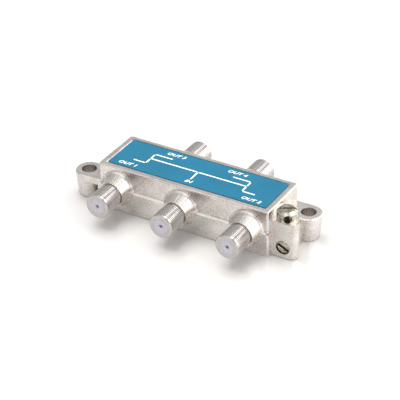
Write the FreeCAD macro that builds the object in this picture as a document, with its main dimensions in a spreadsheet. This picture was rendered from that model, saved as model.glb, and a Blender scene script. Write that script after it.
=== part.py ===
import FreeCAD, Part
import os
import re

import Sketcher

# Four-way coaxial splitter: a die-cast zinc box with five threaded ports, two ears and an earth
# block, closed from below. X runs along the box, the three-port side faces -Y, Z is up.
# The origin is the middle of the underside. All sizes are in millimetres.

os.makedirs("parts", exist_ok=True)
doc = FreeCAD.newDocument("coaxial_splitter")

# Driving sizes
SIZES = (
    ("body_length", 72.0, "box, end to end"),
    ("body_width", 23.1, "box, front wall to back wall"),
    ("body_height", 18.0, "box, underside to top"),
    ("wall", 1.7, "side walls of the casting"),
    ("roof", 1.8, "top wall of the casting"),
    ("corner_radius", 1.0, "upright corners of the box"),
    ("edge_radius", 0.5, "rounding round the top of the box"),
    ("strip_proud", 1.1, "how far the front strip and the humps stand out"),
    ("strip_height", 9.7, "top of the front strip"),
    ("strip_overhang", 0.6, "how far the strip runs past the end wall"),
    ("strip_corner", 2.2, "rounded upper corner of the strip"),
    ("strip_edge", 0.6, "bevel round the front of strip and humps"),
    ("hump_radius", 7.3, "round hump at each port"),
    ("port_spacing", 27.4, "between neighbouring ports"),
    ("port_height", 9.25, "axis of the ports above the underside"),
    ("port_reach", 14.9, "wall to the end of a port"),
    ("boss_reach", 5.7, "wall to the end of the tapered boss"),
    ("boss_base", 6.6, "radius of the boss at the hump"),
    ("boss_tip", 5.2, "radius of the boss at the thread"),
    ("groove_width", 0.7, "undercut behind the thread"),
    ("groove_radius", 4.3, "bottom of the undercut"),
    ("thread_radius", 4.7625, "outside of the 3/8-32 thread"),
    ("nose_chamfer", 0.25, "lead at the end of the thread"),
    ("port_bore", 3.45, "radius of the bore that takes the insulator"),
    ("shoulder_reach", 1.6, "wall to the shoulder in the bore"),
    ("neck_bore", 2.6, "radius of the hole through the wall"),
    ("insulator_gap", 0.04, "radial clearance of an insulator"),
    ("disc_thickness", 2.0, "disc at the mouth of an insulator"),
    ("tube_radius", 3.0, "tube of an insulator, behind the disc at its mouth"),
    ("entry_radius", 0.65, "hole for the centre conductor"),
    ("entry_flare", 0.35, "funnel at the mouth of that hole"),
    ("entry_depth", 1.4, "face of the insulator to the contact"),
    ("contact_radius", 1.2, "outside of the spring contact"),
    ("contact_bore", 0.55, "inside of the spring contact"),
    ("contact_gap", 0.03, "radial clearance of a contact"),
    ("contact_slit", 0.3, "slit that makes the contact springy"),
    ("slit_length", 5.0, "how far the slit runs"),
    ("tail_inset", 2.3, "inside of the wall to the contact's leg"),
    ("leg_width", 0.9, "leg of a contact, along the box"),
    ("leg_thickness", 0.4, "leg of a contact, across the box"),
    ("leg_rise", 0.6, "how far a leg stands through the board"),
    ("label_end", 2.5, "end of the box to the label"),
    ("label_side", 2.4, "side of the box to the label"),
    ("label_recess", 0.3, "depth of the recess for the label"),
    ("label_thickness", 0.2, "label film"),
    ("label_corner", 0.7, "corners of the label"),
    ("label_margin", 0.5, "gap round the label"),
    ("label_shift", 0.3, "how far the label was stuck off the middle line"),
    ("cover_thickness", 0.6, "sheet that closes the underside"),
    ("cover_seat", 0.8, "width of the rebate that the sheet lies in"),
    ("cover_gap", 0.1, "gap round the sheet"),
    ("cover_corner", 1.2, "corners of the sheet"),
    ("ear_height", 10.2, "top of both ears"),
    ("ear_radius", 5.3, "round end of an ear at its top"),
    ("ear_foot_radius", 4.4, "boss of an ear at the underside"),
    ("ear_flange", 2.4, "thickness of an ear's flange"),
    ("ear_web", 2.4, "thickness of the web below the flange"),
    ("ear_edge", 0.4, "bevel round the top of an ear"),
    ("ear_hole", 2.9, "radius of the fixing hole"),
    ("ear_out_left", 8.0, "end wall to the left fixing hole"),
    ("ear_in_left", 5.4, "front wall to the left fixing hole"),
    ("ear_out_right", 6.7, "end wall to the right fixing hole"),
    ("ear_in_right", 4.4, "back wall to the right fixing hole"),
    ("rib_out", 7.1, "end wall to the outside of the rib between earth block and ear"),
    ("rib_height", 8.8, "top of that rib"),
    ("block_height", 14.8, "top of the earth block"),
    ("block_setback", 0.8, "front wall back to the face of the earth block"),
    ("block_reach", 12.5, "end wall to where face and slanting side would meet"),
    ("block_tip", 2.75, "radius of the round tip between them"),
    ("block_knee_out", 6.9, "end wall to the corner behind the tip"),
    ("block_knee_in", 9.5, "face back to that corner"),
    ("block_knee", 2.0, "rounding of that corner"),
    ("block_depth", 12.8, "face back to where the block ends on the end wall"),
    ("block_foot", 0.5, "bevel round the bottom of the block"),
    ("post_out", 5.2, "end wall to the axis of the post"),
    ("post_inset", 3.8, "face of the earth block to the axis of the post"),
    ("post_radius", 3.9, "head of the post"),
    ("post_height", 4.4, "head of the post above the block"),
    ("post_chamfer", 1.1, "bevel round the top of the post"),
    ("post_shank", 2.4, "radius of the threaded shank"),
    ("post_depth", 6.4, "length of the shank"),
    ("post_turn", 30.0, "degrees that the wire hole is turned from the front"),
    ("wire_hole", 1.55, "radius of the hole for the earth wire"),
    ("wire_height", 1.9, "axis of that hole above the block"),
    ("slot_width", 1.1, "screwdriver slots"),
    ("slot_depth", 0.6, "screwdriver slots"),
    ("screw_out", 5.5, "end wall to the axis of the earth screw"),
    ("screw_height", 4.6, "axis of the earth screw above the underside"),
    ("screw_head", 2.5, "radius of its head"),
    ("screw_head_length", 1.7, "thickness of its head"),
    ("screw_dome", 0.35, "bevel round its head"),
    ("screw_sunk", 0.3, "how far the head lies below the face"),
    ("screw_shank", 1.75, "radius of the threaded shank"),
    ("screw_depth", 4.8, "length of the shank"),
    ("screw_turn", 26.0, "degrees that its slot is turned from level"),
    ("counterbore_gap", 0.35, "radial room round the head"),
    ("thread_gap", 0.05, "radial clearance of both shanks"),
    ("blind_gap", 0.7, "room beyond the end of both shanks"),
    ("board_end_gap", 1.3, "end wall to the circuit board"),
    ("board_side_gap", 1.05, "side wall to the circuit board"),
    ("board_thickness", 1.0, "circuit board"),
    ("board_rise", 2.35, "axis of the ports up to the board"),
    ("pillar_radius", 1.5, "cast pillars that the board rests against"),
    ("pillar_inset", 3.2, "end and side of the board to a pillar"),
    ("leg_hole", 0.65, "radius of the board's holes for the legs"),
    ("stage_spacing", 19.0, "between the three two-way stages"),
    ("core_width", 5.0, "ferrite core, along the box"),
    ("core_height", 3.2, "ferrite core, below the board"),
    ("core_length", 3.6, "ferrite core, across the box"),
    ("core_bore", 0.65, "radius of the two holes of a core"),
    ("core_pitch", 2.3, "between the two holes of a core"),
    ("core_offset", 3.2, "middle of a stage to each of its two cores"),
    ("wire_size", 0.7, "bundle of winding wire"),
    ("chip_length", 2.0, "resistors and capacitors"),
    ("chip_width", 1.25, "resistors and capacitors"),
    ("resistor_height", 0.55, "resistors"),
    ("capacitor_height", 0.85, "capacitors"),
    ("resistor_gap", 0.6, "winding to its resistor"),
    ("capacitor_offset", 3.4, "leg of a contact to its capacitor"),
)

sheet = doc.addObject("Spreadsheet::Sheet", "sizes")
for row, (alias, value, meaning) in enumerate(SIZES, start=1):
    sheet.set(f"A{row}", alias)
    sheet.set(f"B{row}", str(value))
    sheet.set(f"C{row}", meaning)
    sheet.setAlias(f"B{row}", alias)
doc.recompute()
ALIASES = {alias for alias, value, meaning in SIZES}

# Places that follow from the driving sizes, written once
END = "(body_length / 2)"
SIDE = "(body_width / 2)"
CEILING = "(body_height - roof)"
BOARD_FACE = "(port_height + board_rise)"
BOARD_TOP = "(port_height + board_rise + board_thickness)"
INNER_END = "(body_length / 2 - wall)"
INNER_SIDE = "(body_width / 2 - wall)"
BOARD_END = "(body_length / 2 - wall - board_end_gap)"
BOARD_SIDE = "(body_width / 2 - wall - board_side_gap)"
LABEL_END = "(body_length / 2 - label_end)"
LABEL_SIDE = "(body_width / 2 - label_side)"
LEG_SIDE = "(body_width / 2 - wall - tail_inset)"
BLOCK_FACE = "(body_width / 2 - block_setback)"
POST_X = "(body_length / 2 + post_out)"
SCREW_X = "(body_length / 2 + screw_out)"

# The front ports from left to right, then the back ports: name, place along the box, turn and
# the side on which the port's capacitor lies, away from the end wall
PORTS = (
    ("1", "-port_spacing", 0, "+"),
    ("in", "0", 0, "+"),
    ("2", "port_spacing", 0, "-"),
    ("3", "-port_spacing / 2", 180, "+"),
    ("4", "port_spacing / 2", 180, "-"),
)
# The first stage splits the input, the other two split its two halves
STAGES = (("1", "0"), ("2", "-stage_spacing"), ("3", "stage_spacing"))


def formula(text):
    """The expression with each size's name pointed at the sheet."""
    def pointed(word):
        return "sizes." + word.group() if word.group() in ALIASES else word.group()

    return re.sub(r"[a-z_]+", pointed, text)


def read(alias):
    """A driving size as a number."""
    return float(getattr(sheet, alias))


def bind(item, properties):
    """Tie properties of an item to expressions in the driving sizes."""
    for name, text in properties.items():
        item.setExpression(name, formula(text))


def new_body(label):
    """An empty body with its label."""
    body = doc.addObject("PartDesign::Body", label)
    body.Label = label
    return body


def place(item, x="0", y="0", z="0", turn=0, axis=(0, 0, 1)):
    """Put a finished piece at its place, turned about one axis."""
    item.Placement = FreeCAD.Placement(
        FreeCAD.Vector(0, 0, 0), FreeCAD.Rotation(FreeCAD.Vector(*axis), turn)
    )
    bind(item, {"Placement.Base.x": x, "Placement.Base.y": y, "Placement.Base.z": z})


def origin_item(body, role):
    """A plane or axis of the body's own origin."""
    return next(item for item in body.Origin.OriginFeatures if item.Role == role)


def attach(body, item, plane, across="0", up="0", out="0"):
    """Attach an item to an origin plane, moved in the plane's own directions."""
    item.AttachmentSupport = [(origin_item(body, plane), "")]
    item.MapMode = "FlatFace"
    bind(item, {
        "AttachmentOffset.Base.x": across,
        "AttachmentOffset.Base.y": up,
        "AttachmentOffset.Base.z": out,
    })


def new_sketch(body, name, plane, across="0", up="0", out="0"):
    """An empty sketch on an origin plane."""
    sketch = body.newObject("Sketcher::SketchObject", name)
    attach(body, sketch, plane, across, up, out)
    return sketch


def fix_point(sketch, line, end, across, up):
    """Hold one end of a line, or a circle's centre, at a place given by two expressions."""
    for kind, text in (("DistanceX", across), ("DistanceY", up)):
        number = sketch.addConstraint(Sketcher.Constraint(kind, -1, 1, line, end, 1.0))
        sketch.setExpression(f"Constraints[{number}]", formula(text))


def polygon(sketch, corners):
    """A closed outline through corners, each given by two expressions."""
    first = sketch.GeometryCount
    count = len(corners)
    start = [
        FreeCAD.Rotation(FreeCAD.Vector(0, 0, 1), 360 * turn / count).multVec(FreeCAD.Vector(1, 0, 0))
        for turn in range(count)
    ]
    for turn in range(count):
        sketch.addGeometry(Part.LineSegment(start[turn], start[(turn + 1) % count]))
    for turn in range(count):
        following = first + (turn + 1) % count
        sketch.addConstraint(Sketcher.Constraint("Coincident", first + turn, 2, following, 1))
    for turn, (across, up) in enumerate(corners):
        fix_point(sketch, first + turn, 1, across, up)


def rectangle(sketch, left, bottom, right, top):
    """A rectangle between two corners."""
    polygon(sketch, [(left, bottom), (right, bottom), (right, top), (left, top)])


def circle(sketch, across, up, radius):
    """A circle round a place."""
    number = sketch.addGeometry(Part.Circle(FreeCAD.Vector(0, 0, 0), FreeCAD.Vector(0, 0, 1), 1.0))
    fix_point(sketch, number, 3, across, up)
    held = sketch.addConstraint(Sketcher.Constraint("Radius", number, 1.0))
    sketch.setExpression(f"Constraints[{held}]", formula(radius))


def extrude(body, kind, name, sketch, length, backwards=False, middle=False):
    """A pad or pocket of a sketch."""
    feature = body.newObject(f"PartDesign::{kind}", name)
    feature.Profile = sketch
    feature.Reversed = backwards
    if middle:
        feature.SideType = "Symmetric"
    bind(feature, {"Length": length})
    return feature


def turn_profile(body, kind, name, sketch):
    """A revolution or groove of a sketch about its own level axis."""
    feature = body.newObject(f"PartDesign::{kind}", name)
    feature.Profile = sketch
    feature.ReferenceAxis = (sketch, ["H_Axis"])
    feature.Angle = 360
    return feature


def repeat_along(body, name, original, length, count):
    """Copies of a feature along the box."""
    pattern = body.newObject("PartDesign::LinearPattern", name)
    pattern.Originals = [original]
    pattern.Direction = (origin_item(body, "X_Axis"), [""])
    pattern.Occurrences = count
    bind(pattern, {"Length": length})
    body.Tip = pattern
    return pattern


def trim_edges(body, kind, name, feature, extent, wanted):
    """A fillet or chamfer along those edges of a feature that the test picks."""
    doc.recompute()
    picked = [
        f"Edge{number}" for number, edge in enumerate(feature.Shape.Edges, start=1) if wanted(edge)
    ]
    trim = body.newObject(f"PartDesign::{kind}", name)
    trim.Base = (feature, picked)
    bind(trim, {"Radius" if kind == "Fillet" else "Size": extent})
    return trim


def upright(edge):
    """Whether an edge is a straight upright one."""
    box = edge.BoundBox
    return box.XLength < 1e-6 and box.YLength < 1e-6


def level_at(edge, height):
    """Whether an edge lies level at a height."""
    box = edge.BoundBox
    return abs(box.ZMin - height) < 1e-6 and abs(box.ZMax - height) < 1e-6


def across_at(edge, depth):
    """Whether an edge lies in an upright plane across the box."""
    box = edge.BoundBox
    return abs(box.YMin - depth) < 1e-6 and abs(box.YMax - depth) < 1e-6


def housing_box(body):
    """The plain box with its rounded corners, and the raised strip along the front."""
    outline = new_sketch(body, "box_outline", "XY_Plane")
    rectangle(outline, f"-{END}", f"-{SIDE}", END, SIDE)
    box = extrude(body, "Pad", "box", outline, "body_height")
    corners = trim_edges(body, "Fillet", "box_corners", box, "corner_radius", upright)
    top = read("body_height")
    trim_edges(body, "Fillet", "box_edges", corners, "edge_radius", lambda edge: level_at(edge, top))

    strip_outline = new_sketch(body, "strip_outline", "XZ_Plane", out=SIDE)
    rectangle(strip_outline, f"-{END}", "0", f"{END} + strip_overhang", "strip_height")
    strip = extrude(body, "Pad", "strip", strip_outline, "strip_proud")
    inside = new_sketch(body, "strip_root_outline", "XZ_Plane", out=SIDE)
    rectangle(inside, f"{END} - corner_radius", "0", f"{END} + strip_overhang", "strip_height")
    root = extrude(body, "Pad", "strip_root", inside, "block_setback + wall", backwards=True)
    right = read("body_length") / 2 + read("strip_overhang")
    shelf = read("strip_height")

    def strip_end(edge):
        box = edge.BoundBox
        return level_at(edge, shelf) and abs(box.XMin - right) < 1e-6 and box.XLength < 1e-6

    end = trim_edges(body, "Fillet", "strip_end", root, "strip_corner", strip_end)
    face = -read("body_width") / 2 - read("strip_proud")

    def strip_rim(edge):
        box = edge.BoundBox
        return across_at(edge, face) and box.ZMax > 1 and box.XMax > 0

    trim_edges(body, "Chamfer", "strip_rim", end, "strip_edge", strip_rim)


def housing_ear(body, name, sign, out, inward):
    """One fixing ear: a drafted boss under a flange, and a web that ties it to the end wall."""
    centre_x = f"{sign}({END} + {out})"
    centre_y = f"{sign}({SIDE} - {inward})"
    inner_x = f"{sign}({END} - wall / 2)"
    low_y = f"{centre_y} - ear_radius"
    high_y = f"{centre_y} + ear_radius"

    boss = body.newObject("PartDesign::AdditiveCone", f"{name}_boss")
    attach(body, boss, "XY_Plane", centre_x, centre_y)
    bind(boss, {"Radius1": "ear_foot_radius", "Radius2": "ear_radius", "Height": "ear_height"})
    top = read("ear_height")
    width = 2 * read("ear_radius")

    def boss_rim(edge):
        return level_at(edge, top) and abs(edge.BoundBox.XLength - width) < 1e-3

    trim_edges(body, "Chamfer", f"{name}_rim", boss, "ear_edge", boss_rim)
    flange_outline = new_sketch(body, f"{name}_flange_outline", "YZ_Plane", out=inner_x)
    polygon(flange_outline, [
        (low_y, "ear_height - ear_flange"),
        (high_y, "ear_height - ear_flange"),
        (high_y, "ear_height - ear_edge"),
        (f"{high_y} - ear_edge", "ear_height"),
        (f"{low_y} + ear_edge", "ear_height"),
        (low_y, "ear_height - ear_edge"),
    ])
    extrude(body, "Pad", f"{name}_flange", flange_outline, f"{out} + wall / 2", backwards=sign == "-")
    web_outline = new_sketch(body, f"{name}_web_outline", "XY_Plane")
    rectangle(web_outline, inner_x, f"{centre_y} - ear_web / 2", centre_x, f"{centre_y} + ear_web / 2")
    extrude(body, "Pad", f"{name}_web", web_outline, "ear_height - ear_flange / 2")


def housing_ear_hole(body, name, sign, out, inward):
    """The fixing hole through an ear."""
    outline = new_sketch(body, f"{name}_hole_outline", "XY_Plane")
    circle(outline, f"{sign}({END} + {out})", f"{sign}({SIDE} - {inward})", "ear_hole")
    extrude(body, "Pocket", f"{name}_hole", outline, "ear_height + 1", backwards=True)


def housing_block(body):
    """The earth block: flat face, round tip, a side that slants back to the end wall, and a rib."""
    inner_x = f"({END} - wall / 2)"
    knee_x = f"({END} + block_knee_out)"
    knee_y = f"(block_knee_in - {BLOCK_FACE})"
    outline = new_sketch(body, "block_outline", "XY_Plane")
    polygon(outline, [
        (inner_x, f"-{BLOCK_FACE}"),
        (f"{END} + block_reach", f"-{BLOCK_FACE}"),
        (knee_x, knee_y),
        (inner_x, f"block_depth - {BLOCK_FACE}"),
    ])
    block = extrude(body, "Pad", "block", outline, "block_height")
    reach = read("body_length") / 2 + read("block_reach")
    knee = read("body_length") / 2 + read("block_knee_out")
    tip = trim_edges(body, "Fillet", "block_tip_round", block, "block_tip",
                     lambda edge: upright(edge) and abs(edge.BoundBox.XMin - reach) < 1e-6)
    knee_round = trim_edges(body, "Fillet", "block_knee_round", tip, "block_knee",
                            lambda edge: upright(edge) and abs(edge.BoundBox.XMin - knee) < 1e-6)
    wall_x = read("body_length") / 2

    def block_foot(edge):
        return level_at(edge, 0) and edge.BoundBox.XMax > wall_x + 1

    trim_edges(body, "Chamfer", "block_foot_bevel", knee_round, "block_foot", block_foot)
    rib = new_sketch(body, "rib_outline", "XY_Plane")
    rectangle(rib, f"{END} + rib_out - ear_web", f"{knee_y} - ear_web",
              f"{END} + rib_out", f"{SIDE} - ear_in_right - (ear_hole + ear_foot_radius) / 2")
    extrude(body, "Pad", "rib", rib, "rib_height")


def housing_terminal_bores(body):
    """The blind bores of the earth post and the earth screw."""
    post = new_sketch(body, "post_bore_outline", "XY_Plane", out="block_height")
    circle(post, POST_X, f"post_inset - {BLOCK_FACE}", "post_shank + thread_gap")
    extrude(body, "Pocket", "post_bore", post, "post_depth + blind_gap")
    head = new_sketch(body, "counterbore_outline", "XZ_Plane", out=BLOCK_FACE)
    circle(head, SCREW_X, "screw_height", "screw_head + counterbore_gap")
    extrude(body, "Pocket", "counterbore", head, "screw_sunk + screw_head_length")
    shank = new_sketch(body, "screw_bore_outline", "XZ_Plane", out=BLOCK_FACE)
    circle(shank, SCREW_X, "screw_height", "screw_shank + thread_gap")
    extrude(body, "Pocket", "screw_bore", shank,
            "screw_sunk + screw_head_length + screw_depth + blind_gap")


def housing_hollow(body):
    """The hollow inside with its rounded corners, the rebate of the sheet and the label recess."""
    hollow_outline = new_sketch(body, "hollow_outline", "XY_Plane")
    rectangle(hollow_outline, f"-{INNER_END}", f"-{INNER_SIDE}", INNER_END, INNER_SIDE)
    extrude(body, "Pocket", "hollow", hollow_outline, CEILING, backwards=True)
    seat = new_sketch(body, "rebate_outline", "XY_Plane")
    seat_x = f"({INNER_END} + cover_seat)"
    seat_y = f"({INNER_SIDE} + cover_seat)"
    rectangle(seat, f"-{seat_x}", f"-{seat_y}", seat_x, seat_y)
    extrude(body, "Pocket", "rebate", seat, "cover_thickness", backwards=True)
    recess = new_sketch(body, "recess_outline", "XY_Plane", out="body_height")
    half_x = f"({LABEL_END} + label_margin)"
    half_y = f"({LABEL_SIDE} + label_margin)"
    rectangle(recess, f"-{half_x}", f"-{half_y}", half_x, half_y)
    extrude(body, "Pocket", "label_seat", recess, "label_recess")


def housing_pillars(body):
    """Four short pillars under the roof, for the board to rest against."""
    outline = new_sketch(body, "pillar_outline", "XY_Plane", out=CEILING)
    for side_x in ("-", ""):
        for side_y in ("-", ""):
            circle(outline, f"{side_x}({BOARD_END} - pillar_inset)",
                   f"{side_y}({BOARD_SIDE} - pillar_inset)", "pillar_radius")
    extrude(body, "Pad", "pillars", outline, f"{CEILING} - {BOARD_TOP}", backwards=True)


def housing_ports(body, name, sign, first, length, count):
    """One row of ports: hump, boss, undercut and barrel as one turned form, then the bore."""
    wall_y = f"{sign}{SIDE}"
    profile = new_sketch(body, f"{name}_port_profile", "YZ_Plane", wall_y, "port_height", first)
    polygon(profile, [
        (f"-{sign}(wall / 2)", "0"),
        (f"{sign}port_reach", "0"),
        (f"{sign}port_reach", "thread_radius - nose_chamfer"),
        (f"{sign}(port_reach - nose_chamfer)", "thread_radius"),
        (f"{sign}(boss_reach + groove_width)", "thread_radius"),
        (f"{sign}(boss_reach + groove_width)", "groove_radius"),
        (f"{sign}boss_reach", "groove_radius"),
        (f"{sign}boss_reach", "boss_tip"),
        (f"{sign}strip_proud", "boss_base"),
        (f"{sign}strip_proud", "hump_radius - strip_edge"),
        (f"{sign}(strip_proud - strip_edge)", "hump_radius"),
        (f"-{sign}(wall / 2)", "hump_radius"),
    ])
    barrel = turn_profile(body, "Revolution", f"{name}_port", profile)
    repeat_along(body, f"{name}_ports", barrel, length, count)
    bore = new_sketch(body, f"{name}_bore_profile", "YZ_Plane", wall_y, "port_height", first)
    inner = f"-{sign}(wall + tail_inset + leg_thickness)"
    polygon(bore, [
        (inner, "0"),
        (f"{sign}(port_reach + 1)", "0"),
        (f"{sign}(port_reach + 1)", "port_bore"),
        (f"{sign}shoulder_reach", "port_bore"),
        (f"{sign}shoulder_reach", "neck_bore"),
        (inner, "neck_bore"),
    ])
    hole = turn_profile(body, "Groove", f"{name}_bore", bore)
    repeat_along(body, f"{name}_bores", hole, length, count)


def make_housing():
    """The zinc casting."""
    body = new_body("housing")
    housing_box(body)
    housing_block(body)
    housing_ear(body, "left_ear", "-", "ear_out_left", "ear_in_left")
    housing_ear(body, "right_ear", "", "ear_out_right", "ear_in_right")
    housing_hollow(body)
    housing_pillars(body)
    housing_ports(body, "front", "-", "-port_spacing", "2 * port_spacing", 3)
    housing_ports(body, "back", "", "-port_spacing / 2", "port_spacing", 2)
    housing_ear_hole(body, "left_ear", "-", "ear_out_left", "ear_in_left")
    housing_ear_hole(body, "right_ear", "", "ear_out_right", "ear_in_right")
    housing_terminal_bores(body)
    return body


def make_plate(label, half_x, half_y, thickness, corner, height, shift="0"):
    """A flat sheet with rounded corners, lying at a height."""
    body = new_body(label)
    outline = new_sketch(body, f"{label}_outline", "XY_Plane")
    rectangle(outline, f"-{half_x}", f"-{half_y}", half_x, half_y)
    sheet_pad = extrude(body, "Pad", f"{label}_sheet", outline, thickness)
    trim_edges(body, "Fillet", f"{label}_corners", sheet_pad, corner, upright)
    place(body, y=shift, z=height)
    return body


def make_insulator(name, along, turn):
    """A plastic insulator: a disc at the mouth of the port, on a tube that stands on the shoulder."""
    body = new_body(f"port_insulator_{name}")
    disc = "(port_bore - insulator_gap)"
    back = "-(shoulder_reach)"
    nose = "-(port_reach)"
    profile = new_sketch(body, f"insulator_{name}_profile", "YZ_Plane")
    polygon(profile, [
        (back, "contact_radius + contact_gap"),
        (f"{nose} + entry_depth", "contact_radius + contact_gap"),
        (f"{nose} + entry_depth", "entry_radius"),
        (f"{nose} + entry_flare", "entry_radius"),
        (nose, "entry_radius + entry_flare"),
        (nose, disc),
        (f"{nose} + disc_thickness", disc),
        (f"{nose} + disc_thickness", "tube_radius"),
        (back, "tube_radius"),
    ])
    turn_profile(body, "Revolution", f"insulator_{name}_turned", profile)
    side = f"-{SIDE}" if turn == 0 else SIDE
    place(body, along, side, "port_height", turn)
    return body


def make_contact(name, along, turn):
    """A sprung sleeve for the centre conductor, with a leg that goes through the board."""
    body = new_body(f"contact_{name}")
    mouth = "-(port_reach - entry_depth)"
    inner = "(wall + tail_inset)"
    profile = new_sketch(body, f"contact_{name}_profile", "YZ_Plane")
    polygon(profile, [
        (mouth, "contact_bore"),
        (mouth, "contact_radius"),
        (f"{inner} + leg_thickness / 2", "contact_radius"),
        (f"{inner} + leg_thickness / 2", "0"),
        (f"{mouth} + 2 * slit_length", "0"),
        (f"{mouth} + 2 * slit_length", "contact_bore"),
    ])
    turn_profile(body, "Revolution", f"contact_{name}_sleeve", profile)
    slit = new_sketch(body, f"contact_{name}_slit_outline", "YZ_Plane")
    rectangle(slit, f"{mouth} - 1", "-contact_slit / 2", f"{mouth} + slit_length", "contact_slit / 2")
    extrude(body, "Pocket", f"contact_{name}_slit", slit, "4 * contact_radius", middle=True)
    leg = new_sketch(body, f"contact_{name}_leg_outline", "XY_Plane")
    rectangle(leg, "-leg_width / 2", f"{inner} - leg_thickness / 2",
              "leg_width / 2", f"{inner} + leg_thickness / 2")
    extrude(body, "Pad", f"contact_{name}_leg", leg, f"{BOARD_TOP} + leg_rise - port_height")
    side = f"-{SIDE}" if turn == 0 else SIDE
    place(body, along, side, "port_height", turn)
    return body


def make_board():
    """The circuit board with a hole for each contact's leg."""
    body = new_body("circuit_board")
    outline = new_sketch(body, "board_outline", "XY_Plane")
    rectangle(outline, f"-{BOARD_END}", f"-{BOARD_SIDE}", BOARD_END, BOARD_SIDE)
    extrude(body, "Pad", "board_sheet", outline, "board_thickness")
    holes = new_sketch(body, "leg_hole_outline", "XY_Plane")
    for name, along, turn, side in PORTS:
        circle(holes, along, f"-{LEG_SIDE}" if turn == 0 else LEG_SIDE, "leg_hole")
    extrude(body, "Pocket", "leg_holes", holes, "board_thickness + 1", backwards=True)
    place(body, z=BOARD_FACE)
    return body


def make_core(label, along):
    """A ferrite core with two holes side by side, hanging below the board on its middle line."""
    body = new_body(label)
    outline = new_sketch(body, f"{label}_outline", "XZ_Plane")
    rectangle(outline, "-core_width / 2", "-core_height / 2", "core_width / 2", "core_height / 2")
    circle(outline, "-core_pitch / 2", "0", "core_bore")
    circle(outline, "core_pitch / 2", "0", "core_bore")
    extrude(body, "Pad", f"{label}_bar", outline, "core_length", middle=True)
    place(body, along, z=f"{BOARD_FACE} - core_height / 2")
    return body


def make_winding(label, along):
    """The wire of a core, as one closed bundle through both of its holes."""
    body = new_body(label)
    outline = new_sketch(body, f"{label}_outline", "XY_Plane")
    far_x = "(core_pitch / 2 + wire_size / 2)"
    far_y = "(core_length / 2 + wire_size)"
    rectangle(outline, f"-{far_x}", f"-{far_y}", far_x, far_y)
    near_x = "(core_pitch / 2 - wire_size / 2)"
    near_y = "(core_length / 2)"
    rectangle(outline, f"-{near_x}", f"-{near_y}", near_x, near_y)
    extrude(body, "Pad", f"{label}_bundle", outline, "wire_size", middle=True)
    place(body, along, z=f"{BOARD_FACE} - core_height / 2")
    return body


def make_chip(label, along, across, height):
    """A resistor or capacitor soldered flat below the board."""
    chip = doc.addObject("Part::Box", label)
    chip.Label = label
    bind(chip, {"Length": "chip_length", "Width": "chip_width", "Height": height})
    place(chip, f"{along} - chip_length / 2", f"{across} - chip_width / 2", f"{BOARD_FACE} - {height}")
    return chip


def make_post():
    """The earth post: bevelled round head with a wire hole and a slot across it, on a shank."""
    body = new_body("earth_post")
    half = new_sketch(body, "post_profile", "XZ_Plane")
    polygon(half, [
        ("0", "-post_depth"),
        ("post_shank - thread_gap * 4", "-post_depth"),
        ("post_shank", "-post_depth + thread_gap * 4"),
        ("post_shank", "0"),
        ("post_radius", "0"),
        ("post_radius", "post_height - post_chamfer"),
        ("post_radius - post_chamfer", "post_height"),
        ("0", "post_height"),
    ])
    turned = body.newObject("PartDesign::Revolution", "post_turned")
    turned.Profile = half
    turned.ReferenceAxis = (half, ["V_Axis"])
    turned.Angle = 360
    hole = new_sketch(body, "wire_hole_outline", "XZ_Plane")
    circle(hole, "0", "wire_height", "wire_hole")
    extrude(body, "Pocket", "wire_way", hole, "4 * post_radius", middle=True)
    slot = new_sketch(body, "post_slot_outline", "YZ_Plane")
    rectangle(slot, "-slot_width / 2", "post_height - slot_depth", "slot_width / 2", "post_height + 1")
    extrude(body, "Pocket", "post_slot", slot, "4 * post_radius", middle=True)
    place(body, POST_X, f"post_inset - {BLOCK_FACE}", "block_height", read("post_turn"))
    bind(body, {"Placement.Rotation.Angle": "post_turn"})
    return body


def make_screw():
    """The earth screw: a low slotted head sunk in the block's face, on a threaded shank."""
    body = new_body("earth_screw")
    profile = new_sketch(body, "screw_profile", "YZ_Plane")
    polygon(profile, [
        ("0", "0"),
        ("0", "screw_head - screw_dome"),
        ("screw_dome", "screw_head"),
        ("screw_head_length", "screw_head"),
        ("screw_head_length", "screw_shank"),
        ("screw_head_length + screw_depth - thread_gap * 4", "screw_shank"),
        ("screw_head_length + screw_depth", "screw_shank - thread_gap * 4"),
        ("screw_head_length + screw_depth", "0"),
    ])
    turn_profile(body, "Revolution", "screw_turned", profile)
    slot = new_sketch(body, "screw_slot_outline", "YZ_Plane")
    rectangle(slot, "-1", "-slot_width / 2", "slot_depth", "slot_width / 2")
    extrude(body, "Pocket", "screw_slot", slot, "4 * screw_head", middle=True)
    place(body, SCREW_X, f"screw_sunk - {BLOCK_FACE}", "screw_height", read("screw_turn"), (0, 1, 0))
    bind(body, {"Placement.Rotation.Angle": "screw_turn"})
    return body


pieces = [make_housing()]
cover_x = f"({INNER_END} + cover_seat - cover_gap)"
cover_y = f"({INNER_SIDE} + cover_seat - cover_gap)"
pieces.append(make_plate("back_cover", cover_x, cover_y, "cover_thickness", "cover_corner", "0"))
pieces.append(make_plate("label", LABEL_END, LABEL_SIDE, "label_thickness",
                         "label_corner", "body_height - label_recess", "label_shift"))
pieces.append(make_board())
for name, along, turn, side in PORTS:
    pieces.append(make_insulator(name, along, turn))
    pieces.append(make_contact(name, along, turn))
for name, along in STAGES:
    for role, beside in (("matching", f"{along} - core_offset"), ("splitting", f"{along} + core_offset")):
        pieces.append(make_core(f"{role}_core_{name}", beside))
        pieces.append(make_winding(f"{role}_winding_{name}", beside))
    pieces.append(make_chip(f"resistor_{name}", f"{along} + core_offset",
                            "-(core_length / 2 + wire_size + resistor_gap + chip_width / 2)",
                            "resistor_height"))
for number, (name, along, turn, side) in enumerate(PORTS, start=1):
    leg_y = f"-{LEG_SIDE}" if turn == 0 else LEG_SIDE
    pieces.append(make_chip(f"capacitor_{number}", f"{along} {side} capacitor_offset", leg_y,
                            "capacitor_height"))
pieces.append(make_post())
pieces.append(make_screw())
doc.recompute()

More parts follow.
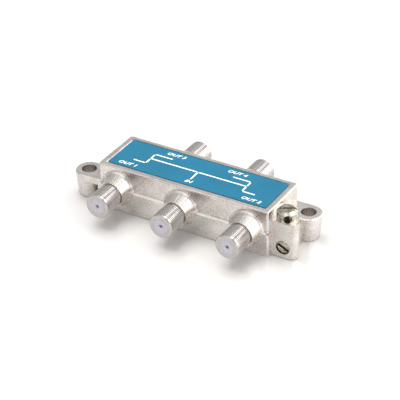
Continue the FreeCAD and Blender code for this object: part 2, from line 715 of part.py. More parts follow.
# Check the whole document, then write each piece
failed = [item.Label for item in doc.Objects if "Invalid" in item.State or "Error" in item.State]
if failed:
    raise RuntimeError(f"not computed: {failed}")
for piece in pieces:
    if piece.Shape.isNull() or not piece.Shape.isValid() or not piece.Shape.Solids:
        raise RuntimeError(f"no valid solid: {piece.Label}")
for piece in pieces:
    piece.Shape.exportStep(f"parts/{piece.Label}.step")
print(f"wrote {len(pieces)} pieces")
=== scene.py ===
import math

import bpy
from mathutils import Matrix, Vector


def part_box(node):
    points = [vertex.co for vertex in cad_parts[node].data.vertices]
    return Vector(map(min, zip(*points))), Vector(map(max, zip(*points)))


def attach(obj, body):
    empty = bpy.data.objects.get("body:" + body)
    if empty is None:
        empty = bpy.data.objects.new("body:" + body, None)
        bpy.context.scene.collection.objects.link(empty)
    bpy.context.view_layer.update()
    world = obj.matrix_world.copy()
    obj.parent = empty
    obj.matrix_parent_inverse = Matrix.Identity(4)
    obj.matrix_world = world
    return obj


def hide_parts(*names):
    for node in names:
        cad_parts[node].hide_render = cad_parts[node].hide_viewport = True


# Four-way coaxial splitter: the looks of a plated zinc casting with five threaded ports, a blue
# printed label and an earth terminal. Lengths are in metres, and MM turns millimetres to metres.
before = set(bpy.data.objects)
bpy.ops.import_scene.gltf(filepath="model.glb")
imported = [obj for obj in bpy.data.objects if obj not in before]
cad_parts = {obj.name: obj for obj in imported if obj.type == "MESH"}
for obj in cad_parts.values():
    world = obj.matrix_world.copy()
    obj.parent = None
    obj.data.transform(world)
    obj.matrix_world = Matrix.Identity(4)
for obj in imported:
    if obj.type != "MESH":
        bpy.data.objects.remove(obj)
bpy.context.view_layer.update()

bl_info = {
    "name": "Coaxial splitter",
    "version": (1, 0, 0),
    "blender": (4, 5, 0),
    "location": "View3D > Sidebar > Splitter",
    "description": "Finishes a four-way coaxial splitter and sets its studio stage",
    "category": "Object",
}

MM = 0.001
IMAGE_PIXELS = 400
WHITE = (1.0, 1.0, 1.0, 1.0)
PORTS = ("1", "in", "2", "3", "4")  # The first three are in front, the other two at the back

WELD = 0.0005 * MM  # Points of a mesh that are nearer than this are one
FLAT = math.radians(0.3)  # Faces that turn by less than this are one flat face
CREASE = math.radians(35)  # Edges sharper than this stay sharp when a piece is shaded smooth
MARGIN = 0.1 * MM  # How far past a limit a place has to be before it counts
FACING = 0.99  # A normal with more than this along a direction faces that way
ACROSS = 0.3  # A normal with less than this along a direction lies across it

GRAIN = {"Detail": 3.0, "Roughness": 0.55}  # How fine the noise is that most patterns use
MIDDLE = {"From Min": 0.3, "From Max": 0.7}  # The range in which most of a noise's values lie


def colour(text):
    """An sRGB hex colour as the linear colour that Blender works in."""
    parts = [int(text[start:start + 2], 16) / 255 for start in (1, 3, 5)]
    linear = [part / 12.92 if part <= 0.04045 else ((part + 0.055) / 1.055) ** 2.4
              for part in parts]
    return (*linear, 1.0)


def dimmed(tone, *shares):
    """A colour brought down to one share of itself, or to one each for red, green and blue."""
    shares = shares if len(shares) == 3 else shares * 3
    return (*(part * share for part, share in zip(tone, shares)), 1.0)


def per_metre(size):
    """The scale of a pattern whose patches are about this many millimetres across."""
    return 1 / (size * MM)


class SplitterSizes(bpy.types.PropertyGroup):
    """Sizes of what the scene adds to the construction."""

    thread_radius: bpy.props.FloatProperty(
        name="Thread radius", description="Outside of the 3/8-32 thread of a port",
        default=4.7625 * MM, unit="LENGTH")
    thread_pitch: bpy.props.FloatProperty(
        name="Thread pitch", description="32 turns to the inch",
        default=25.4 / 32 * MM, unit="LENGTH")
    thread_depth: bpy.props.FloatProperty(
        name="Thread depth", description="Crest to root of the port's thread",
        default=0.26 * MM, unit="LENGTH")
    thread_length: bpy.props.FloatProperty(
        name="Thread length", description="End of a port back to the middle of the undercut",
        default=8.75 * MM, unit="LENGTH")
    plain_end: bpy.props.FloatProperty(
        name="Plain end", description="Rim at the end of a port that the thread leaves plain",
        default=0.6 * MM, unit="LENGTH")
    terminal_pitch: bpy.props.FloatProperty(
        name="Terminal thread pitch", description="Thread of the earth post and the earth screw",
        default=0.7 * MM, unit="LENGTH")
    terminal_depth: bpy.props.FloatProperty(
        name="Terminal thread depth", description="Crest to root of the terminal threads",
        default=0.32 * MM, unit="LENGTH")
    wire_hole_drop: bpy.props.FloatProperty(
        name="Wire hole drop", description="Top of the earth post to the middle of its wire hole",
        default=2.5 * MM, unit="LENGTH")
    wire_hole_radius: bpy.props.FloatProperty(
        name="Wire hole radius", description="Radius of the wire hole in the earth post",
        default=1.6 * MM, unit="LENGTH")
    foot_edge: bpy.props.FloatProperty(
        name="Foot edge", description="Broken edge all round the casting's underside",
        default=0.5 * MM, unit="LENGTH")
    ring_radius: bpy.props.FloatProperty(
        name="Insulator ring", description="Radius of the moulded ring in an insulator's face",
        default=2.95 * MM, unit="LENGTH")
    ring_depth: bpy.props.FloatProperty(
        name="Insulator ring depth", description="Depth of that moulded ring",
        default=0.14 * MM, unit="LENGTH")
    mark_height: bpy.props.FloatProperty(
        name="Letter height", description="Height of the letters and numbers at the ports",
        default=1.75 * MM, unit="LENGTH")
    mark_stroke: bpy.props.FloatProperty(
        name="Line width", description="Width of the lines of the branching mark",
        default=0.6 * MM, unit="LENGTH")
    ink_height: bpy.props.FloatProperty(
        name="Ink height", description="How far the printing ink stands on the film",
        default=0.02 * MM, unit="LENGTH")


class SplitterColours(bpy.types.PropertyGroup):
    """Colours of the finishes."""

    plate: bpy.props.FloatVectorProperty(
        name="Nickel plate", description="Satin nickel on the casting", subtype="COLOR",
        size=4, default=colour("#EFE9E5"))
    plate_shade: bpy.props.FloatVectorProperty(
        name="Nickel plate, duller", description="Duller patches of the plate", subtype="COLOR",
        size=4, default=colour("#DAD3CC"))
    film: bpy.props.FloatVectorProperty(
        name="Label film", description="Printed blue of the label", subtype="COLOR",
        size=4, default=colour("#226C89"))
    ink: bpy.props.FloatVectorProperty(
        name="Ink", description="White marks on the label", subtype="COLOR",
        size=4, default=colour("#F4F6F8"))
    insulator: bpy.props.FloatVectorProperty(
        name="Insulator", description="Pale moulded plastic in the ports", subtype="COLOR",
        size=4, default=colour("#E0DAE3"))
    terminal: bpy.props.FloatVectorProperty(
        name="Terminal", description="Dull nickel over brass on post and screw", subtype="COLOR",
        size=4, default=colour("#E6E2D8"))


def only(piece):
    """Select one object, make it active and nothing else."""
    bpy.ops.object.select_all(action="DESELECT")
    piece.select_set(True)
    bpy.context.view_layer.objects.active = piece


def in_edit_mode(piece, *steps):
    """Run mesh operators on the whole mesh of a piece, each given as a function."""
    only(piece)
    bpy.ops.object.mode_set(mode="EDIT")
    bpy.ops.mesh.select_all(action="SELECT")
    for step in steps:
        step()
    bpy.ops.object.mode_set(mode="OBJECT")


def settle(piece):
    """Bake a piece's place, turn and scale into its mesh, so that its object is at the origin."""
    only(piece)
    bpy.ops.object.transform_apply(location=True, rotation=True, scale=True)


def wear(piece, *materials):
    """Give a piece its materials in place of those it has."""
    piece.data.materials.clear()
    for material in materials:
        piece.data.materials.append(material)


def node_wears(name, material):
    """Give a construction node a better material."""
    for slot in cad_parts[name].material_slots:
        slot.material = material


def copy_of(node_name, piece_name):
    """A copy of a construction node with its loose triangles merged, ready to be worked on."""
    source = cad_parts[node_name]
    piece = source.copy()
    piece.data = source.data.copy()
    piece.name = piece_name
    piece.parent = None
    for key in list(piece.keys()):
        del piece[key]
    bpy.context.scene.collection.objects.link(piece)
    only(piece)
    if piece.data.has_custom_normals:
        bpy.ops.mesh.customdata_custom_splitnormals_clear()
    in_edit_mode(
        piece,
        lambda: bpy.ops.mesh.remove_doubles(threshold=WELD),
        lambda: bpy.ops.mesh.dissolve_limited(angle_limit=FLAT),
    )
    return piece


def end_of(node, direction):
    """The middle of the end of a construction node that a direction along an axis points to."""
    low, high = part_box(node)
    return Vector([near if way < 0 else far if way > 0 else (near + far) / 2
                   for near, far, way in zip(low, high, direction)])


def outward_of(port):
    """The direction in which a port points: along Y, to the front or to the back."""
    low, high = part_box(f"port_insulator_{port}")
    return Vector((0, -1 if low.y + high.y < 0 else 1, 0))


def mouth_of(port):
    """The middle of a port's open end."""
    return end_of(f"port_insulator_{port}", outward_of(port))


def along_and_off(place, start, direction):
    """How far a place is from a start along a direction, and how far it is off that line."""
    way = place - start
    along = way.dot(direction)
    return along, (way - direction * along).length


def thread_cutter(start, direction, radius, pitch, depth, length):
    """A helical ridge with a V section, to cut a thread of this depth into a round bar."""
    clear = 0.15 * depth  # How far the ridge's back stands off the bar
    flank = math.radians(32)  # How far each side of the V leans
    widest = 0.47 * pitch  # Half of the widest ridge whose turns stay apart
    half_width = min(widest, (depth + clear) * math.tan(flank))
    bpy.ops.mesh.primitive_circle_add(vertices=3, radius=1.0, fill_type="NOTHING")
    cutter = bpy.context.object
    section = ((radius - depth, 0, 0), (radius + clear, 0, half_width),
               (radius + clear, 0, -half_width))
    for vertex, place in zip(cutter.data.vertices, section):
        vertex.co = place
    screw = cutter.modifiers.new("helix", "SCREW")
    screw.axis = "Z"
    screw.screw_offset = pitch
    screw.iterations = math.floor(length / pitch)
    screw.steps = screw.render_steps = 32
    only(cutter)
    bpy.ops.object.modifier_apply(modifier="helix")
    # The ridge's two open ends are closed, so that it can cut
    in_edit_mode(
        cutter,
        lambda: bpy.ops.mesh.remove_doubles(threshold=WELD),
        lambda: bpy.ops.mesh.fill_holes(sides=4),
        lambda: bpy.ops.mesh.normals_make_consistent(inside=False),
    )
    cutter.rotation_mode = "QUATERNION"
    cutter.rotation_quaternion = Vector((0, 0, 1)).rotation_difference(direction)
    cutter.location = start
    settle(cutter)
    return cutter


def join(pieces):
    """Join several objects into the first."""
    bpy.ops.object.select_all(action="DESELECT")
    for piece in pieces:
        piece.select_set(True)
    bpy.context.view_layer.objects.active = pieces[0]
    bpy.ops.object.join()
    return pieces[0]


def cut_away(piece, cutter):
    """Take a cutter's form out of a piece, and delete the cutter."""
    cut = piece.modifiers.new("cut", "BOOLEAN")
    cut.operation = "DIFFERENCE"
    cut.solver = "EXACT"
    cut.use_self = False
    cut.object = cutter
    only(piece)
    bpy.ops.object.modifier_apply(modifier="cut")
    bpy.data.objects.remove(cutter)


def smooth(piece):
    """Shade a piece smooth, apart from its sharp edges."""
    only(piece)
    bpy.ops.object.shade_smooth_by_angle(angle=CREASE)


def connect(tree, node, inputs):
    """Give each of these sockets of a node its value, or another node's output."""
    for socket, value in inputs.items():
        if isinstance(value, bpy.types.NodeSocket):
            tree.links.new(value, node.inputs[socket])
        else:
            node.inputs[socket].default_value = value


def add_node(tree, kind, inputs=None, **settings):
    """Add one node with its settings, and connect its inputs."""
    node = tree.nodes.new(kind)
    for name, value in settings.items():
        setattr(node, name, value)
    connect(tree, node, inputs or {})
    return node


def new_material(name, inputs):
    """A material with what is the same all over it, ready for its patterns."""
    material = bpy.data.materials.new(name)
    material.use_nodes = True
    shader = material.node_tree.nodes["Principled BSDF"]
    connect(material.node_tree, shader, inputs)
    return material, material.node_tree, shader


def patchy_material(name, inputs, size, light, dark, roughness=None, relief=None, stretch=None):
    """A material whose tone goes from light to dark in patches of a size in millimetres.

    What is the same all over it is in inputs. Given its lowest and highest value, the roughness
    follows the same patches. Relief is the width and the depth of its bumps in millimetres, and
    stretch scales the coordinates, so that the patches become streaks.
    """
    material, tree, shader = new_material(name, inputs)
    place = add_node(tree, "ShaderNodeTexCoord").outputs["Object"]
    if stretch:
        place = add_node(tree, "ShaderNodeMapping", {
            "Vector": place, "Scale": stretch}).outputs["Vector"]
    patches = add_node(tree, "ShaderNodeTexNoise", {
        "Vector": place, "Scale": per_metre(size), **GRAIN}).outputs["Fac"]
    share = add_node(tree, "ShaderNodeMapRange", {"Value": patches, **MIDDLE})
    tone = add_node(tree, "ShaderNodeMix", {
        "Factor": share.outputs["Result"], "A": light, "B": dark}, data_type="RGBA")
    connect(tree, shader, {"Base Color": tone.outputs["Result"]})
    if roughness:
        lowest, highest = roughness
        rough = add_node(tree, "ShaderNodeMapRange", {
            "Value": patches, **MIDDLE, "To Min": lowest, "To Max": highest})
        connect(tree, shader, {"Roughness": rough.outputs["Result"]})
    if relief:
        width, depth = relief
        bumps = add_node(tree, "ShaderNodeTexNoise", {
            "Vector": place, "Scale": per_metre(width), **GRAIN})
        raised = add_node(tree, "ShaderNodeBump", {
            "Height": bumps.outputs["Fac"], "Distance": depth * MM})
        connect(tree, shader, {"Normal": raised.outputs["Normal"]})
    return material


def die_cast_nickel(colours):
    """Die-cast zinc under satin nickel: a soft shine broken by the grain of the casting's skin."""
    material, tree, shader = new_material("die_cast_zinc_satin_nickel", {"Metallic": 1.0})
    place = add_node(tree, "ShaderNodeTexCoord").outputs["Object"]
    cloud = add_node(tree, "ShaderNodeTexNoise", {
        "Vector": place, "Scale": per_metre(5.0), **GRAIN})
    # The skin's grain is about 0.2 mm; it is drawn 0.7 mm wide so that it shows from a step away
    grain = add_node(tree, "ShaderNodeTexNoise", {
        "Vector": place, "Scale": per_metre(0.7), **GRAIN, "Detail": 5.0})
    both = add_node(tree, "ShaderNodeMath", {
        0: cloud.outputs["Fac"], 1: grain.outputs["Fac"]}, operation="ADD")
    share = add_node(tree, "ShaderNodeMapRange", {
        "Value": both.outputs["Value"], "From Min": 0.8, "From Max": 1.2})
    tone = add_node(tree, "ShaderNodeMix", {
        "Factor": share.outputs["Result"], "A": tuple(colours.plate),
        "B": tuple(colours.plate_shade)}, data_type="RGBA")
    rough = add_node(tree, "ShaderNodeMapRange", {
        "Value": grain.outputs["Fac"], **MIDDLE, "To Min": 0.20, "To Max": 0.32})
    raised = add_node(tree, "ShaderNodeBump", {
        "Height": grain.outputs["Fac"], "Distance": 0.04 * MM})
    connect(tree, shader, {
        "Base Color": tone.outputs["Result"], "Roughness": rough.outputs["Result"],
        "Normal": raised.outputs["Normal"]})
    return material


def bright_nickel(colours):
    """Nickel on the turned barrels: shinier than the cast skin, with faint tool marks."""
    material, tree, shader = new_material("bright_nickel_thread", {
        "Metallic": 1.0, "Base Color": dimmed(colours.plate, 0.68)})
    place = add_node(tree, "ShaderNodeTexCoord").outputs["Object"]
    marks = add_node(tree, "ShaderNodeTexNoise", {
        "Vector": place, "Scale": per_metre(0.4), **GRAIN})
    rough = add_node(tree, "ShaderNodeMapRange", {
        "Value": marks.outputs["Fac"], **MIDDLE, "To Min": 0.16, "To Max": 0.26})
    connect(tree, shader, {"Roughness": rough.outputs["Result"]})
    return material


def terminal_metal(colours):
    """Dull nickel over brass, browner and darker where the plate is thin."""
    return patchy_material(
        "dull_nickel_brass", {"Metallic": 1.0}, size=1.3, light=tuple(colours.terminal),
        dark=dimmed(colours.terminal, 0.34, 0.31, 0.22), roughness=(0.14, 0.30),
        relief=(0.6, 0.04))


def bore_brass_painted_shade():
    """Brass for the walls of the wire hole and the screw's slot, painted dark brown as the shade
    inside them.
    """
    return patchy_material(
        "bore_brass_painted_shade", {"Metallic": 1.0, "Roughness": 0.5},
        size=0.8, light=colour("#4A402C"), dark=colour("#2E271B"))


def printed_film(colours):
    """Printed polyester film: an even satin colour with a faint orange peel."""
    return patchy_material(
        "printed_polyester_film", {"Roughness": 0.36, "Specular IOR Level": 0.15},
        size=14.0, light=tuple(colours.film), dark=dimmed(colours.film, 0.86),
        relief=(1.2, 0.01))


def screen_ink(colours):
    """Screen-printed ink: matt, with the slight mottle of a mesh print."""
    return patchy_material(
        "white_screen_ink", {"Roughness": 0.55},
        size=0.5, light=tuple(colours.ink), dark=dimmed(colours.ink, 0.9))


def moulded_insulator(colours):
    """Moulded polyethylene: waxy and slightly translucent, with a soft shine."""
    return patchy_material(
        "moulded_polyethylene",
        {"Roughness": 0.38, "Subsurface Weight": 0.25, "Subsurface Scale": 0.6 * MM},
        size=2.0, light=tuple(colours.insulator), dark=dimmed(colours.insulator, 0.88),
        relief=(0.6, 0.01))


def tinned_sheet():
    """Tinned steel sheet: bright, with the long faint streaks of rolling."""
    return patchy_material(
        "tinned_steel_sheet", {"Metallic": 1.0},
        size=0.5, light=colour("#C9C9C6"), dark=colour("#B4B4B2"),
        roughness=(0.22, 0.38), stretch=(0.06, 1.0, 1.0))


def paper_laminate():
    """Phenolic paper laminate: brown and semi-gloss, with the fibres just visible."""
    return patchy_material(
        "phenolic_paper_laminate", {"Roughness": 0.45},
        size=0.9, light=colour("#B08A4A"), dark=colour("#95713A"))


def sintered_ferrite():
    """Sintered ferrite: dark grey and matt, with fine pores."""
    return patchy_material(
        "sintered_ferrite", {"Roughness": 0.6},
        size=0.3, light=colour("#3A3A3D"), dark=colour("#29292B"), relief=(0.3, 0.02))


def enamelled_copper():
    """Enamelled copper wire: red-brown metal under clear lacquer, in fine turns."""
    material, tree, shader = new_material("enamelled_copper", {
        "Metallic": 1.0, "Roughness": 0.3, "Coat Weight": 0.6})
    place = add_node(tree, "ShaderNodeTexCoord").outputs["Object"]
    # A wave texture turns by 20 radians in one unit, which puts these turns 0.4 mm apart
    turns = add_node(tree, "ShaderNodeTexWave", {
        "Vector": place, "Scale": per_metre(1.26)}).outputs["Fac"]
    tone = add_node(tree, "ShaderNodeMix", {
        "Factor": turns, "A": colour("#A4512C"), "B": colour("#7A3418")}, data_type="RGBA")
    raised = add_node(tree, "ShaderNodeBump", {"Height": turns, "Distance": 0.05 * MM})
    connect(tree, shader, {
        "Base Color": tone.outputs["Result"], "Normal": raised.outputs["Normal"]})
    return material


def tinned_bronze():
    """Tinned spring bronze: dull metal with a warm tinge."""
    return patchy_material(
        "tinned_spring_bronze", {"Metallic": 1.0},
        size=0.8, light=colour("#6A6048"), dark=colour("#4E4632"), roughness=(0.25, 0.4))


def ceramic_chip(name, light, dark):
    """A fired ceramic chip part: matt, with a fine grain."""
    return patchy_material(
        name, {"Roughness": 0.5}, size=0.25, light=colour(light), dark=colour(dark))


class SPLITTER_OT_casting(bpy.types.Operator):
    """Cut the five port threads into the casting and plate it"""

    bl_idname = "splitter.casting"
    bl_label = "Casting"

    def execute(self, context):
        sizes = context.scene.splitter_sizes
        colours = context.scene.splitter_colours
        casting = copy_of("housing", "plated_casting")
        self.break_foot(casting, sizes)
        cutters = []
        for port in PORTS:
            outward = outward_of(port)
            cutters.append(thread_cutter(
                mouth_of(port) - outward * sizes.thread_length, outward, sizes.thread_radius,
                sizes.thread_pitch, sizes.thread_depth, sizes.thread_length - sizes.plain_end))
        cut_away(casting, join(cutters))
        smooth(casting)
        wear(casting, die_cast_nickel(colours), bright_nickel(colours))
        self.brighten_barrels(casting, sizes)
        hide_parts("housing")
        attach(casting, "splitter")
        return {"FINISHED"}

    def break_foot(self, casting, sizes):
        """Break the sharp edge round the underside, apart from the seat of the back cover."""
        low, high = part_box("back_cover")
        floor = 0.01 * MM  # What is lower than this stands on the table
        seat = 0.3 * MM  # How far the seat's edges may lie outside the cover
        only(casting)
        bpy.ops.object.mode_set(mode="EDIT")
        bpy.ops.mesh.select_mode(type="EDGE")
        bpy.ops.mesh.select_all(action="DESELECT")
        bpy.ops.object.mode_set(mode="OBJECT")
        points = casting.data.vertices
        touching = {}
        for face in casting.data.polygons:
            for key in face.edge_keys:
                touching.setdefault(key, []).append(face.normal.z)
        for edge in casting.data.edges:
            first, second = (points[index].co for index in edge.vertices)
            middle = (first + second) / 2
            lowest = max(first.z, second.z) < floor
            slopes = sorted(touching[edge.key])
            outside = not (low.x - seat < middle.x < high.x + seat
                           and low.y - seat < middle.y < high.y + seat)
            corner = slopes[0] < -FACING and abs(slopes[-1]) < ACROSS
            edge.select = lowest and outside and corner
        bpy.ops.object.mode_set(mode="EDIT")
        bpy.ops.mesh.bevel(offset=sizes.foot_edge, segments=3)
        bpy.ops.object.mode_set(mode="OBJECT")

    def brighten_barrels(self, casting, sizes):
        """Give the faces of the five barrels the brighter second material."""
        rim = MM  # A rim may stand this far out from its insulator's face
        reach = sizes.thread_length + 0.4 * MM  # Past the undercut's middle, to its end
        ends = [(mouth_of(port), -outward_of(port)) for port in PORTS]
        for face in casting.data.polygons:
            for mouth, inward in ends:
                along, off = along_and_off(face.center, mouth, inward)
                if -rim < along < reach and off < sizes.thread_radius + MARGIN:
                    face.material_index = 1


class SPLITTER_OT_insulators(bpy.types.Operator):
    """Mould the ring into the face of each port's insulator"""

    bl_idname = "splitter.insulators"
    bl_label = "Insulators"

    def execute(self, context):
        sizes = context.scene.splitter_sizes
        plastic = moulded_insulator(context.scene.splitter_colours)
        for port in PORTS:
            node = f"port_insulator_{port}"
            insulator = copy_of(node, f"moulded_insulator_{port}")
            bpy.ops.mesh.primitive_torus_add(
                major_radius=sizes.ring_radius, minor_radius=sizes.ring_depth,
                major_segments=64, minor_segments=8,
                location=mouth_of(port), rotation=(math.pi / 2, 0, 0))
            ring = bpy.context.object
            settle(ring)
            cut_away(insulator, ring)
            smooth(insulator)
            wear(insulator, plastic)
            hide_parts(node)
            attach(insulator, "splitter")
        return {"FINISHED"}


class SPLITTER_OT_terminal(bpy.types.Operator):
    """Cut the threads of the earth post and the earth screw"""

    bl_idname = "splitter.terminal"
    bl_label = "Earth terminal"

    def execute(self, context):
        sizes = context.scene.splitter_sizes
        metal = terminal_metal(context.scene.splitter_colours)
        # Painted shade: a dark brown for the inside of the post's wire hole and the screw's slot
        bore = bore_brass_painted_shade()
        pieces = (
            ("earth_post", "post", Vector((0, 0, 1))),
            ("earth_screw", "screw", Vector((0, -1, 0))),
        )
        for node, body, way in pieces:
            piece = copy_of(node, f"threaded_{node}")
            self.thread(piece, end_of(node, -way), way, sizes)
            smooth(piece)
            wear(piece, metal, bore)
            # The hollows get the painted shade
            self.darken_hollow(piece, sizes)
            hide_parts(node)
            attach(piece, body)
        return {"FINISHED"}

    def thread(self, piece, foot, way, sizes):
        """Thread a shank, from one turn before its foot towards its head."""
        start = foot - way * sizes.terminal_pitch
        radius, length = self.shank(piece, foot, way)
        cut_away(piece, thread_cutter(
            start, way, radius, sizes.terminal_pitch, sizes.terminal_depth, length))

    def shank(self, piece, foot, way):
        """The radius of a shank near its foot, and how far it runs before its piece is wider."""
        near = 2 * MM
        places = [along_and_off(vertex.co, foot, way) for vertex in piece.data.vertices]
        radius = max(off for along, off in places if MARGIN < along < near)
        length = min(along for along, off in places if off > radius + MARGIN)
        return radius, length

    def darken_hollow(self, piece, sizes):
        """Give the walls of the post's wire hole or the screw's slot the second material, which
        paints their shade dark.

        Both are cut along Y, and the screw's middle is as far below its top as the wire hole is.
        """
        points = [vertex.co for vertex in piece.data.vertices]
        middle = (max(point.x for point in points) + min(point.x for point in points)) / 2
        height = max(point.z for point in points) - sizes.wire_hole_drop
        for face in piece.data.polygons:
            off = math.hypot(face.center.x - middle, face.center.z - height)
            if abs(face.normal.y) < ACROSS and off < sizes.wire_hole_radius:
                face.material_index = 1


class SPLITTER_OT_label(bpy.types.Operator):
    """Colour the label's film and print its generic marks"""

    bl_idname = "splitter.label"
    bl_label = "Label"

    def execute(self, context):
        sizes = context.scene.splitter_sizes
        colours = context.scene.splitter_colours
        node_wears("label", printed_film(colours))
        ink = screen_ink(colours)
        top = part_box("label")[1].z
        lettering = join([self.letters(word, place, sizes) for word, place in self.port_words()])
        lettering.name = "port_marks"
        for piece in (lettering, self.branch_mark(top, sizes)):
            wear(piece, ink)
            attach(piece, "splitter")
        return {"FINISHED"}

    def port_words(self):
        """The word at each port, and where the middle of it stands on the label."""
        low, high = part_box("label")
        front = low.y + 2.2 * MM  # In from the label's front and back edges
        back = high.y - 2.5 * MM
        drawn_in = 0.955  # The words stand a little nearer to the middle than their ports
        for port in PORTS:
            word = "IN" if port == "in" else f"OUT {port}"
            y = front if outward_of(port).y < 0 else back
            yield word, Vector((mouth_of(port).x * drawn_in, y, high.z))

    def letters(self, word, place, sizes):
        """Bold slanted letters lying on the label."""
        font_size, boldness = 1.35, 0.03  # For capitals of height 1
        breadth = 1.15
        bpy.ops.object.text_add(location=place)
        letters = bpy.context.object
        letters.data.body = word
        letters.data.size = sizes.mark_height * font_size
        letters.data.align_x = "CENTER"
        letters.data.align_y = "CENTER"
        letters.data.shear = 0.25
        letters.data.offset = sizes.mark_height * boldness
        letters.data.extrude = sizes.ink_height / 2
        letters.data.resolution_u = 3
        only(letters)
        bpy.ops.object.convert(target="MESH")
        letters = bpy.context.object
        letters.scale.x = breadth
        letters.location.z += sizes.ink_height / 2
        settle(letters)
        return letters

    def branch_mark(self, top, sizes):
        """A line that forks to the four outputs, drawn as flat bars joined on the label."""
        stroke = sizes.mark_stroke
        # A foot at IN leads to a long bar, each end of which has two arms: one outwards in front
        # and one inwards at the back
        foot, bar, end = -4.6 * MM, 0.6 * MM, 20.5 * MM
        front, back, outer_arm, inner_arm = -3.0 * MM, 4.0 * MM, 5.0 * MM, 7.2 * MM
        bars = [(0, foot, 0, bar), (-end, bar, end, bar)]
        for side in (-1, 1):
            bars.append((side * end, front, side * end, back))
            bars.append((side * end, front, side * (end + outer_arm), front))
            bars.append((side * end, back, side * (end - inner_arm), back))
        strips = []
        for x1, y1, x2, y2 in bars:
            bpy.ops.mesh.primitive_plane_add(
                size=1, location=((x1 + x2) / 2, (y1 + y2) / 2, top))
            strip = bpy.context.object
            strip.scale = (abs(x2 - x1) + stroke, abs(y2 - y1) + stroke, 1)
            settle(strip)
            strips.append(strip)
        mark = join(strips)
        mark.name = "branch_mark"
        in_edit_mode(mark, lambda: bpy.ops.mesh.extrude_region_move(
            TRANSFORM_OT_translate={"value": (0, 0, sizes.ink_height)}))
        return mark


class SPLITTER_OT_cover(bpy.types.Operator):
    """Finish the sheet that closes the underside"""

    bl_idname = "splitter.cover"
    bl_label = "Back cover"

    def execute(self, context):
        node_wears("back_cover", tinned_sheet())
        return {"FINISHED"}


class SPLITTER_OT_circuit(bpy.types.Operator):
    """Finish the board and all that is soldered to it"""

    bl_idname = "splitter.circuit"
    bl_label = "Circuit"

    def execute(self, context):
        ferrite = sintered_ferrite()
        copper = enamelled_copper()
        finishes = {
            "circuit_board": paper_laminate(),
            "contact": tinned_bronze(),
            "matching_core": ferrite,
            "splitting_core": ferrite,
            "matching_winding": copper,
            "splitting_winding": copper,
            "resistor": ceramic_chip("resistor_film", "#26262A", "#17171A"),
            "capacitor": ceramic_chip("capacitor_ceramic", "#A8845C", "#8E6C48"),
        }
        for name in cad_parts:
            for start, material in finishes.items():
                if name.startswith(start):
                    node_wears(name, material)
        return {"FINISHED"}


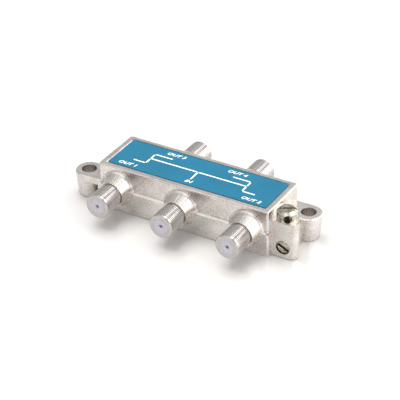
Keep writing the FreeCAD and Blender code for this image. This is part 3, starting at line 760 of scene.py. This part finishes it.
class SPLITTER_OT_stage(bpy.types.Operator):
    """Set the pale floor, the soft light and the camera"""

    bl_idname = "splitter.stage"
    bl_label = "Stage"

    def execute(self, context):
        self.floor()
        self.surroundings(context.scene)
        self.key_light()
        self.camera(context.scene)
        return {"FINISHED"}

    def floor(self):
        """A white glossy table top that keeps the shadow."""
        gap = 0.02 * MM  # Keeps the table off the underside
        bpy.ops.mesh.primitive_plane_add(size=6.0, location=(0, 0, -gap))
        floor = bpy.context.object
        floor.name = "floor"
        settle(floor)
        material, tree, shader = new_material("glossy_white_table", {
            "Roughness": 0.2, "IOR": 2.2, "Emission Color": WHITE})
        # The metal sees a greyer, more even table than the camera does
        seen = add_node(tree, "ShaderNodeLightPath").outputs["Is Camera Ray"]
        tone = add_node(tree, "ShaderNodeMix", {
            "Factor": seen, "A": colour("#B0AEAC"), "B": colour("#D8D6D4")}, data_type="RGBA")
        glow = add_node(tree, "ShaderNodeMapRange", {"Value": seen, "To Min": 0.16, "To Max": 0.0})
        connect(tree, shader, {
            "Base Color": tone.outputs["Result"], "Emission Strength": glow.outputs["Result"]})
        wear(floor, material)

    def surroundings(self, scene):
        """White to the camera; to the metal, a light tent with seams, an opening and a window."""
        world = bpy.data.worlds.new("light_tent")
        world.use_nodes = True
        scene.world = world
        tree = world.node_tree
        tree.nodes.clear()
        direction = add_node(tree, "ShaderNodeTexCoord").outputs["Generated"]
        tent_light = 2.3
        # Where the tent is darker: the way there, the form, the share and light at its darkest,
        # and the share at which it ends
        darker_zones = (
            # The opening is low in front, where the sides of the threads see it
            ((0.26, -0.93, 0.26), "PATCH", (0.92, 0.2), 0.80),
            # Each seam draws a dark line along the barrels
            ((-0.887, 0.0, 0.462), "SEAM", (0.05, 0.15), 0.08),
            ((-0.961, 0.0, -0.276), "SEAM", (0.05, 0.15), 0.09),
            # The tent gets less light on its left side and in front
            ((-0.934, 0.0, -0.358), "PATCH", (0.10, 0.55), 0.0),
            ((0.0, -1.0, 0.0), "PATCH", (0.35, 1.4), 0.05),
            # Overhead it is dimmer too, so that the casting's top stays grey from above
            ((0.0, 0.0, 1.0), "PATCH", (0.97, 0.8), 0.90),
        )
        level = tent_light
        for way, form, darkest, ends_at in darker_zones:
            zone = self.zone(tree, direction, way, form, darkest, (ends_at, tent_light))
            level = add_node(tree, "ShaderNodeMath", {
                0: level, 1: zone}, operation="MINIMUM").outputs["Value"]
        # A weak light up in front on the left draws the bevel along the strip and humps
        window = self.zone(
            tree, direction, (-0.43, -0.534, 0.727), "PATCH", (0.86, 0.0), (0.95, 0.95))
        level = add_node(tree, "ShaderNodeMath", {
            0: level, 1: window}, operation="MAXIMUM").outputs["Value"]
        tent = add_node(tree, "ShaderNodeBackground", {"Color": WHITE, "Strength": level})
        white = add_node(tree, "ShaderNodeBackground", {"Color": WHITE, "Strength": 1.0})
        rays = add_node(tree, "ShaderNodeLightPath")
        seen = add_node(tree, "ShaderNodeMixShader", {
            0: rays.outputs["Is Camera Ray"], 1: tent.outputs["Background"],
            2: white.outputs["Background"]})
        add_node(tree, "ShaderNodeOutputWorld", {"Surface": seen.outputs["Shader"]})

    def zone(self, tree, direction, way, form, start, end):
        """The light of one zone, between a start and an end that are each a share and its light.

        The share is how nearly a direction points the zone's way: 1 in the middle of a patch. A
        seam lies in the plane square to its way, so there its share is 0 and grows on both sides.
        """
        share = add_node(tree, "ShaderNodeVectorMath", {
            0: direction, 1: way}, operation="DOT_PRODUCT").outputs["Value"]
        if form == "SEAM":
            share = add_node(tree, "ShaderNodeMath", {
                0: share}, operation="ABSOLUTE").outputs["Value"]
        return add_node(tree, "ShaderNodeMapRange", {
            "Value": share, "From Min": start[0], "From Max": end[0],
            "To Min": start[1], "To Max": end[1]}).outputs["Result"]

    def key_light(self):
        """The key light above and behind, so that the shadow falls in front."""
        place = Vector((-0.27, 0.09, 0.85))
        bpy.ops.object.light_add(type="AREA", location=place)
        lamp = bpy.context.object
        lamp.name = "key_softbox"
        lamp.data.size = 0.6
        lamp.data.energy = 7.0
        lamp.rotation_mode = "QUATERNION"
        lamp.rotation_quaternion = (-place).to_track_quat("-Z", "Y")
        # It lights the table and leaves the metal to the tent
        lamp.visible_glossy = False

    def camera(self, scene):
        """The photograph's view, fitted to the corners, ports and holes that it shows."""
        azimuth, elevation, roll = (math.radians(turn) for turn in (30.677, 32.256, -0.809))
        place = Vector((0.263991, -0.443258, 0.331709))
        lens_in_pixels = 1635.46
        forward = Vector((-math.sin(azimuth) * math.cos(elevation),
                          math.cos(azimuth) * math.cos(elevation), -math.sin(elevation)))
        level = Vector((math.cos(azimuth), math.sin(azimuth), 0))
        upward = level.cross(forward)
        right = level * math.cos(roll) + upward * math.sin(roll)
        top = upward * math.cos(roll) - level * math.sin(roll)
        view = bpy.data.cameras.new("photograph_view")
        view.sensor_width = 36.0
        view.lens = lens_in_pixels * view.sensor_width / IMAGE_PIXELS
        view.clip_start, view.clip_end = 0.05, 20.0
        camera = bpy.data.objects.new("photograph_view", view)
        scene.collection.objects.link(camera)
        turned = Matrix((right, top, -forward)).transposed().to_4x4()
        camera.matrix_world = Matrix.Translation(place) @ turned
        scene.camera = camera


class SPLITTER_PT_panel(bpy.types.Panel):
    """The steps that finish the splitter, in the 3D view's sidebar"""

    bl_label = "Coaxial splitter"
    bl_idname = "SPLITTER_PT_panel"
    bl_space_type = "VIEW_3D"
    bl_region_type = "UI"
    bl_category = "Splitter"

    def draw(self, context):
        for step in STEPS:
            self.layout.operator(step.bl_idname)
        for group in (context.scene.splitter_sizes, context.scene.splitter_colours):
            for name in group.__annotations__:
                self.layout.prop(group, name)


STEPS = (
    SPLITTER_OT_casting,
    SPLITTER_OT_insulators,
    SPLITTER_OT_terminal,
    SPLITTER_OT_label,
    SPLITTER_OT_cover,
    SPLITTER_OT_circuit,
    SPLITTER_OT_stage,
)
CLASSES = (SplitterSizes, SplitterColours, *STEPS, SPLITTER_PT_panel)


def register():
    """Make the classes known, and give every scene its sizes and colours."""
    for kind in CLASSES:
        bpy.utils.register_class(kind)
    bpy.types.Scene.splitter_sizes = bpy.props.PointerProperty(type=SplitterSizes)
    bpy.types.Scene.splitter_colours = bpy.props.PointerProperty(type=SplitterColours)


def unregister():
    """Take the sizes, the colours and the classes away again."""
    del bpy.types.Scene.splitter_colours
    del bpy.types.Scene.splitter_sizes
    for kind in reversed(CLASSES):
        bpy.utils.unregister_class(kind)


def main():
    """Finish the splitter and set the stage."""
    register()
    bpy.ops.splitter.casting()
    bpy.ops.splitter.insulators()
    bpy.ops.splitter.terminal()
    bpy.ops.splitter.label()
    bpy.ops.splitter.cover()
    bpy.ops.splitter.circuit()
    bpy.ops.splitter.stage()
    bpy.context.scene.view_settings.view_transform = "Standard"
    bpy.context.view_layer.update()


if __name__ == "__main__":
    main()
